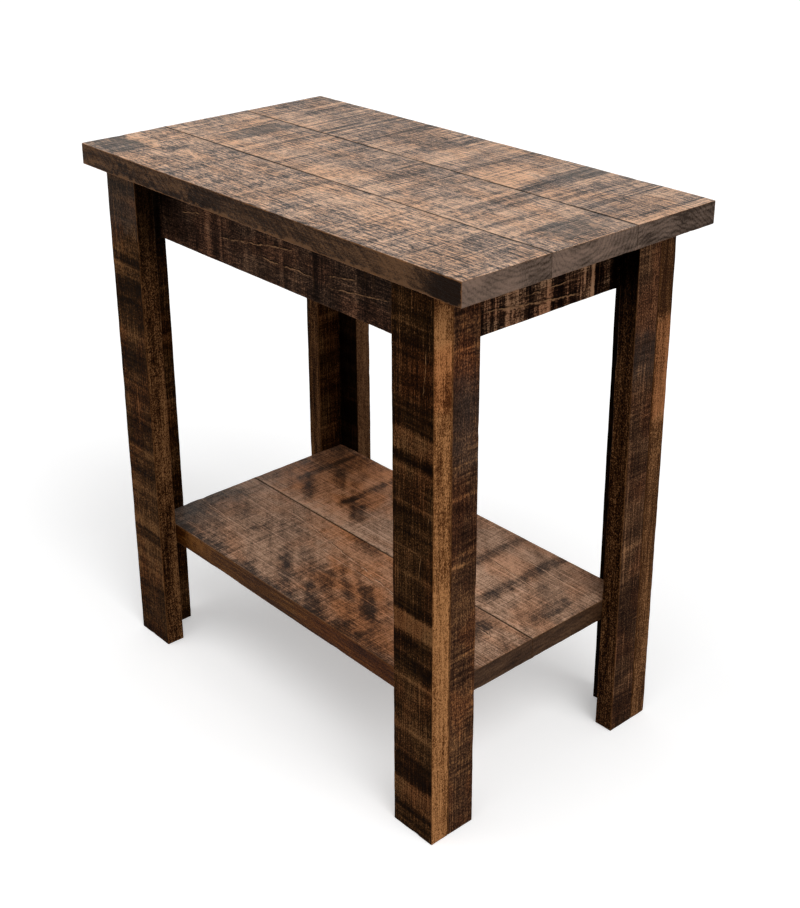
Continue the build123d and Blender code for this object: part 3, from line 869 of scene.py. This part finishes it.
SHELF_REAR_MARKS = [
    mark(-0.28, 30, x=(-260, -176), y=(78, 160)),
    mark(-0.25, 14, lean=1.1, x=(-150, -136), y=(62, 92)),
    mark(-0.33, 7, x=(-126, -114), y=(26, 130)),
    mark(-0.33, 10, x=(-128, -112), y=(36, 60)),
    mark(-0.44, 14, lean=1.0, x=(-102, -74), y=(18, 56)),
    mark(-0.28, 14, lean=1.1, x=(-180, -156), y=(56, 96)),
    mark(-0.22, 14, lean=1.1, x=(-196, -170), y=(20, 50)),
    mark(-0.22, 8, x=(-216, -204), y=(40, 140)),
    mark(-0.17, 26, x=(-270, -236), y=(0, 90)),
    mark(0.22, 18, x=(-150, -128), y=(80, 150)),
    mark(-0.33, 7, x=(90, 104), y=(60, 160)),
    mark(-0.31, 8, x=(152, 168), y=(10, 150)),
    mark(-0.31, 12, x=(218, 240), y=(20, 80)),
    mark(0.13, 16, x=(108, 150)),
    mark(0.33, 2.5, y=(1, 4), z=(160, 170)),
    mark(0.12, 16, x=(-230, -30), y=(-10, 26)),
]


BOARDS = {}
# joined is the sides across the grain where a board meets the next: 1 at the rear, -1 in front.
# The order of the boards gives each one its seed.
for name, joined, rings in (
    ("top_front_board", (1,), (-0.10, 0.70)),
    ("top_middle_board", (-1, 1), (-0.02, 0.655)),
    ("top_rear_board", (-1,), (0.10, 0.56)),
):
    BOARDS[name] = dict(TOP, axes=FLAT_X, joined=joined, rings=rings)
for corner in ("front_left", "front_right", "rear_left", "rear_right"):
    BOARDS[corner + "_leg_face"] = dict(LEG, axes=UPRIGHT_FACE)
    BOARDS[corner + "_leg_side"] = dict(LEG, axes=UPRIGHT_SIDE)
for side in ("front", "rear"):
    BOARDS[side + "_apron"] = dict(APRON, axes=RAIL_X, painted_shade=under_top_ends)
for side in ("left", "right"):
    BOARDS[side + "_apron"] = dict(APRON, axes=RAIL_Y, painted_shade=under_top_sides)
for name, joined in (("shelf_front_board", (1,)), ("shelf_rear_board", (-1,))):
    BOARDS[name] = dict(SHELF, axes=FLAT_X, joined=joined)

# What is a board's own. Each of the lines is a crack or scratch, in metres: where it starts and ends
# along the grain, its place across the grain at the start, its drift for each metre along, its
# waver and its half width.
# A board's greys mark where a grey is mixed in, as painted sheen
BOARDS["top_front_board"].update(
    gains=dict(TOP["gains"], cells=0.14, cuts=0.2, creases=2.9, veins=0.8),
    marks=TOP_FRONT_MARKS, side_marks=TOP_FRONT_EDGE_MARKS,
    end_marks=[mark(0.18, 14, y=(-190, -110)), mark(-0.12, 14, y=(-110, -66), z=(630, 644))],
    greys=[
        mark(0.4, 14, x=(-340, -251), y=(-190, -122)),
        mark(0.3, 4, y=(-70, -60)),
        mark(0.3, 8, x=(-330, -300), y=(-90, -70)),
    ])
BOARDS["top_middle_board"].update(
    gains=dict(TOP["gains"], cuts=0.5, creases=2.1, saws=1.9),
    marks=TOP_MIDDLE_MARKS,
    end_marks=[mark(-0.4, 12, y=(-36, -4), z=(636, 650)), mark(0.12, 14, y=(-60, 20))],
    greys=[
        mark(0.3, 4, y=(51, 60)),
        mark(0.35, 6, x=(-241, -208), y=(-36, 46)),
        mark(0.3, 6, x=(257, 300), y=(-30, 40)),
    ])
BOARDS["top_rear_board"].update(
    gains=dict(TOP["gains"], cells=0.28, cuts=0.65, creases=1.5, saws=2.2),
    marks=TOP_REAR_MARKS,
    end_marks=[mark(-0.12, 20, y=(76, 190)), mark(-0.14, 14, y=(130, 190))],
    greys=[mark(0.35, 8, x=(146, 180), y=(125, 190)), mark(0.2, 3, x=(-162, -154))],
    lines=(
        (-0.086, 0.035, 0.118, 0.14, 0.006, 0.0008),
        (0.230, 0.305, 0.134, 0.12, 0.006, 0.0006),
    ))
BOARDS["front_left_leg_face"].update(
    level=0.52, side=DARK_SIDE, marks=LEFT_FACE_MARKS,
    side_marks=[mark(0.06, 20, z=(230, 500)), mark(-0.12, 10, y=(-180, -162))],
    greys=[mark(0.25, 40, z=(548, 640))])
BOARDS["front_right_leg_face"].update(
    level=0.46, gains=dict(LEG["gains"], fibres=1.2, grit=2.1),
    marks=NEAR_FACE_MARKS, side_marks=NEAR_STRIP_MARKS, reds=[mark(0.3, 20, z=(500, 560))],
    line_amount=0.85,
    lines=(
        (0.392, 0.376, 0.2715, 0.25, 0.004, 0.0007),
        (0.345, 0.296, 0.2595, 0.13, 0.006, 0.0006),
        (0.562, 0.508, 0.2660, 0.08, 0.006, 0.0006),
    ))
BOARDS["front_right_leg_side"].update(
    level=0.47, gains=dict(LEG["gains"], bands=0.5, patches=0.6, cells=0.06, saws=1.3),
    face=colours((24, 12, 6), (48, 30, 20), (70, 46, 31), (100, 69, 44), (148, 104, 66)),
    marks=NEAR_SIDE_MARKS, reds=[mark(0.2, 20, z=(520, 600))],
    greys=[mark(0.18, 40, y=(-146, -110), z=(425, 530))])
BOARDS["rear_left_leg_face"].update(side=BROWN_SIDE)
BOARDS["rear_left_leg_side"].update(side=DARK_SIDE)
BOARDS["rear_right_leg_face"].update(
    side=MID_SIDE, side_marks=RIGHT_STRIP_MARKS, reds=[mark(0.35, 30, z=(385, 510))])
BOARDS["rear_right_leg_side"].update(
    level=0.49, side=DARK_SIDE,
    gains=dict(LEG["gains"], bands=0.4, patches=0.5, saws=1.2, fibres=1.1, grit=2.3),
    face=colours((20, 9, 4), (44, 27, 17), (64, 43, 28), (92, 64, 44), (136, 98, 68)),
    marks=RIGHT_SIDE_MARKS,
    # The second side mark is painted shadow under the top
    side_marks=[mark(-0.16, 10, z=(-20, 540)), mark(-0.4, 30, z=(540, 640))],
    greys=[mark(0.15, 30, z=(440, 500))])
BOARDS["front_apron"].update(
    marks=FRONT_APRON_MARKS,
    lines=(
        (-0.178, -0.118, 0.581, 0.15, 0.004, 0.0007),
        (-0.102, 0.034, 0.568, 0.14, 0.007, 0.0009),
        (-0.034, 0.062, 0.565, 0.0, 0.010, 0.0008),
        (0.080, 0.132, 0.573, 0.15, 0.006, 0.0009),
        (0.084, 0.182, 0.561, 0.13, 0.006, 0.0007),
        (-0.220, -0.200, 0.570, -0.5, 0.004, 0.0007),
    ))
BOARDS["right_apron"].update(
    level=0.52, gains=dict(APRON["gains"], bands=2.1, cells=0.45, cuts=0.8, saws=1.8),
    face=colours((8, 2, 1), (24, 13, 8), (52, 35, 24), (92, 66, 48), (164, 126, 96)),
    marks=END_APRON_MARKS,
    lines=(
        (-0.080, 0.062, 0.564, -0.11, 0.008, 0.0012),
        (-0.030, 0.058, 0.566, 0.0, 0.006, 0.0008),
        (-0.060, -0.010, 0.574, 0.1, 0.004, 0.0007),
    ))
BOARDS["shelf_front_board"].update(
    marks=SHELF_FRONT_MARKS,
    side_marks=[
        mark(-0.35, 24, x=(-230, -196)),
        mark(0.25, 10, x=(-200, -130), z=(158, 170)),
        mark(-0.1, 40, x=(110, 190)),
    ],
    reds=[mark(0.6, 60, lean=0.9, x=(-90, 90))],
    greys=[mark(0.4, 70, x=(-300, -215), y=(-190, 20))],
    lines=(
        (-0.155, 0.150, -0.020, -0.14, 0.012, 0.0008),
        (-0.255, -0.140, -0.087, -0.05, 0.004, 0.0007),
        (-0.060, 0.120, -0.052, -0.03, 0.006, 0.0005),
        (0.196, 0.240, -0.031, -0.05, 0.002, 0.0008),
        (0.204, 0.230, -0.041, 0.75, 0.002, 0.0007),
        (0.204, 0.230, -0.022, -0.75, 0.002, 0.0007),
        (0.213, 0.221, -0.043, 2.8, 0.001, 0.0012),
    ))
BOARDS["shelf_rear_board"].update(
    level=0.66, marks=SHELF_REAR_MARKS,
    reds=[mark(0.75, 50, x=(-260, -80), y=(10, 150))],
    greys=[mark(0.35, 60, x=(-300, -215), y=(-20, 80))],
    lines=(
        (0.110, 0.252, 0.113, -0.05, 0.006, 0.0008),
        (0.105, 0.190, 0.082, -0.12, 0.006, 0.0007),
        (-0.240, -0.120, 0.012, 0.05, 0.006, 0.0006),
    ))

FIRST_SEED, SEED_STEP = 100, 20
for index, (name, look) in enumerate(BOARDS.items()):
    seed = FIRST_SEED + SEED_STEP * index
    board(name, look, seed, wood(name + "_wood", look, seed))

# -------------------- the hidden pieces, kept from the CAD


def plain_wood(name, axis, seed):
    """Planed unfinished wood with its grain along an axis, pores, and duller end grain."""
    material = bpy.data.materials.new(name)
    n = Nodes(material, seed)
    _, _, _, uvw = grain_place(n, (axis, (axis + 1) % 3, (axis + 2) % 3))
    figure = n.noise(uvw, (0.16, 0.012, 0.012), 3, 0.6, 0.4)
    figure = n.math("PINGPONG", n.math("MULTIPLY", figure, 6), 1.0)
    fibres = n.noise(uvw, (0.03, 0.0012, 0.0012), 3, 0.6)
    clouds = n.noise(uvw, (0.05, 0.03, 0.03), 2)
    level = n.summed(0.5, (figure, 0.3), (fibres, 0.9), (clouds, 0.6))
    row = colours((166, 128, 86), (205, 172, 128), (224, 197, 155))
    colour = n.ramp(level, *zip(NARROW_STOPS, row))
    pores = n.noise(uvw, (0.009, 0.0007, 0.0007), 2, 0.5)
    colour = n.mix(n.step(pores, 0.6, 0.7, 0.0, 0.5), colour, srgb(128, 94, 60))
    normal = n.add("SeparateXYZ", {0: n.add("TexCoord").outputs["Normal"]}).outputs[axis]
    at_end = n.step(n.math("ABSOLUTE", normal), 0.7, 0.8)
    colour = n.mix(n.math("MULTIPLY", at_end, 0.6), colour, srgb(150, 114, 76))
    n.surface({
        "Base Color": colour, "Roughness": n.step(fibres, 0.3, 0.7, 0.62, 0.74),
        "Specular IOR Level": 0.3, "Normal": n.bump(fibres, 0.25, 0.0005),
    })
    return material


def zinc_steel(name, seed):
    """Bright zinc-plated steel, a little clouded."""
    material = bpy.data.materials.new(name)
    n = Nodes(material, seed)
    place = n.add("TexCoord").outputs["Object"]
    clouds = n.noise(place, (0.004, 0.004, 0.004), 4, 0.65)
    specks = n.noise(place, (0.0007, 0.0007, 0.0007), 2)
    row = colours((150, 146, 134), (186, 183, 172), (206, 204, 196))
    colour = n.ramp(n.summed(0.5, (clouds, 1.2), (specks, 0.5)), *zip(NARROW_STOPS, row))
    n.surface({
        "Base Color": colour, "Metallic": 1.0, "Roughness": n.step(clouds, 0.3, 0.7, 0.3, 0.46),
        "Normal": n.bump(specks, 0.15, 0.0002),
    })
    return material


GRAIN_ALONG = {
    0: ("front_top_cleat", "rear_top_cleat", "top_front_spline", "top_rear_spline", "shelf_spline"),
    1: ("left_top_cleat", "right_top_cleat", "leg_dowels", "shelf_dowels"),
    2: ("front_left_corner_block", "front_right_corner_block",
        "rear_left_corner_block", "rear_right_corner_block"),
}
PLAIN_SEED, STEEL_SEED = 40, 50
hidden = {
    name: plain_wood("plain_wood_" + "xyz"[axis], axis, PLAIN_SEED + axis)
    for axis, names in GRAIN_ALONG.items() for name in names
}
# Half of these dowels lie along X and half along Y, and they share one material
hidden["apron_dowels"] = hidden["front_top_cleat"]
hidden["corner_screws"] = hidden["cleat_screws"] = zinc_steel("zinc_steel", STEEL_SEED)
for name, material in hidden.items():
    for slot in nodes[name].material_slots:
        slot.material = material

# -------------------- stage, light and camera

AMBIENT = 0.42
FLOOR_REACH = 25.0
FLOOR_WHITE = (0.86, 0.86, 0.86, 1)
FLOOR_LIFT = 0.3
WHITE = (1, 1, 1, 1)


def looked_at(n):
    """1 for rays that look, directly, by reflection or through glass, and 0 for those that light."""
    rays = n.add("LightPath").outputs
    indirect = n.math("MAXIMUM", rays["Is Glossy Ray"], rays["Is Transmission Ray"])
    return n.math("MAXIMUM", rays["Is Camera Ray"], indirect)


def white_world():
    """A backdrop that looks white, and lights the table only by AMBIENT."""
    world = bpy.data.worlds.new("studio")
    n = Nodes(world)
    strength = n.add("MapRange", {"Value": looked_at(n), "To Min": AMBIENT}).outputs["Result"]
    background = n.add("Background", {"Color": WHITE, "Strength": strength})
    n.add("OutputWorld", {"Surface": background.outputs[0]})
    return world


def white_floor():
    """A white floor that keeps the table's shadow, and is clear from below."""
    corners = [(x * FLOOR_REACH, y * FLOOR_REACH, 0) for x, y in ((-1, -1), (1, -1), (1, 1), (-1, 1))]
    mesh = bpy.data.meshes.new("floor")
    mesh.from_pydata(corners, [], [(0, 1, 2, 3)])
    material = bpy.data.materials.new("floor_white")
    n = Nodes(material)
    paint = n.add("BsdfDiffuse", {"Color": FLOOR_WHITE})
    lift = n.math("MULTIPLY", looked_at(n), FLOOR_LIFT)
    lift = n.add("Emission", {"Color": WHITE, "Strength": lift})
    above = n.add("AddShader", {0: paint.outputs[0], 1: lift.outputs[0]})
    below = n.add("BsdfTransparent")
    backfacing = n.add("NewGeometry").outputs["Backfacing"]
    both = n.add("MixShader", {0: backfacing, 1: above.outputs[0], 2: below.outputs[0]})
    n.add("OutputMaterial", {"Surface": both.outputs[0]})
    mesh.materials.append(material)
    return added("floor", mesh)


def facing(back, place=(0, 0, 0), roll=0.0):
    """The matrix of a lamp or camera at a place, its back turned this way, rolled by an angle."""
    z = np.array(back) / np.linalg.norm(back)
    x = np.cross((0, 0, 1), z)
    x /= np.linalg.norm(x)
    y = np.cross(z, x)
    x, y = math.cos(roll) * x + math.sin(roll) * y, -math.sin(roll) * x + math.cos(roll) * y
    return Matrix(np.column_stack((x, y, z, place)).tolist() + [(0, 0, 0, 1)])


def soft_sun(name, direction, strength, degrees):
    """A soft distant lamp; direction points from the table to the lamp."""
    lamp = bpy.data.lights.new(name, "SUN")
    lamp.energy = strength
    lamp.angle = math.radians(degrees)
    added(name, lamp).matrix_world = facing(direction)


bpy.context.scene.world = white_world()
floor = white_floor()
soft_sun("key", (0.9, -0.15, 1.1), strength=1.6, degrees=40)
soft_sun("fill", (-0.2, -1.0, 1.2), strength=0.7, degrees=60)

# The camera, fitted to the photograph's perspective
CAMERA_PLACE = (1.1619, -1.0006, 1.0709)
AZIMUTH, ELEVATION, ROLL = (math.radians(angle) for angle in (48.348, 22.361, -0.236))
LENS = 57.98
SHIFT_Y = -0.1256
CLIP_END = 100.0
camera_data = bpy.data.cameras.new("camera")
camera_data.lens = LENS
camera_data.shift_y = SHIFT_Y
camera_data.clip_end = CLIP_END
camera = added("camera", camera_data)
bpy.context.scene.camera = camera
reach = math.cos(ELEVATION)
toward = (math.sin(AZIMUTH) * reach, -math.cos(AZIMUTH) * reach, math.sin(ELEVATION))
camera.matrix_world = facing(toward, CAMERA_PLACE, ROLL)

bpy.context.scene.view_settings.view_transform = "Standard"
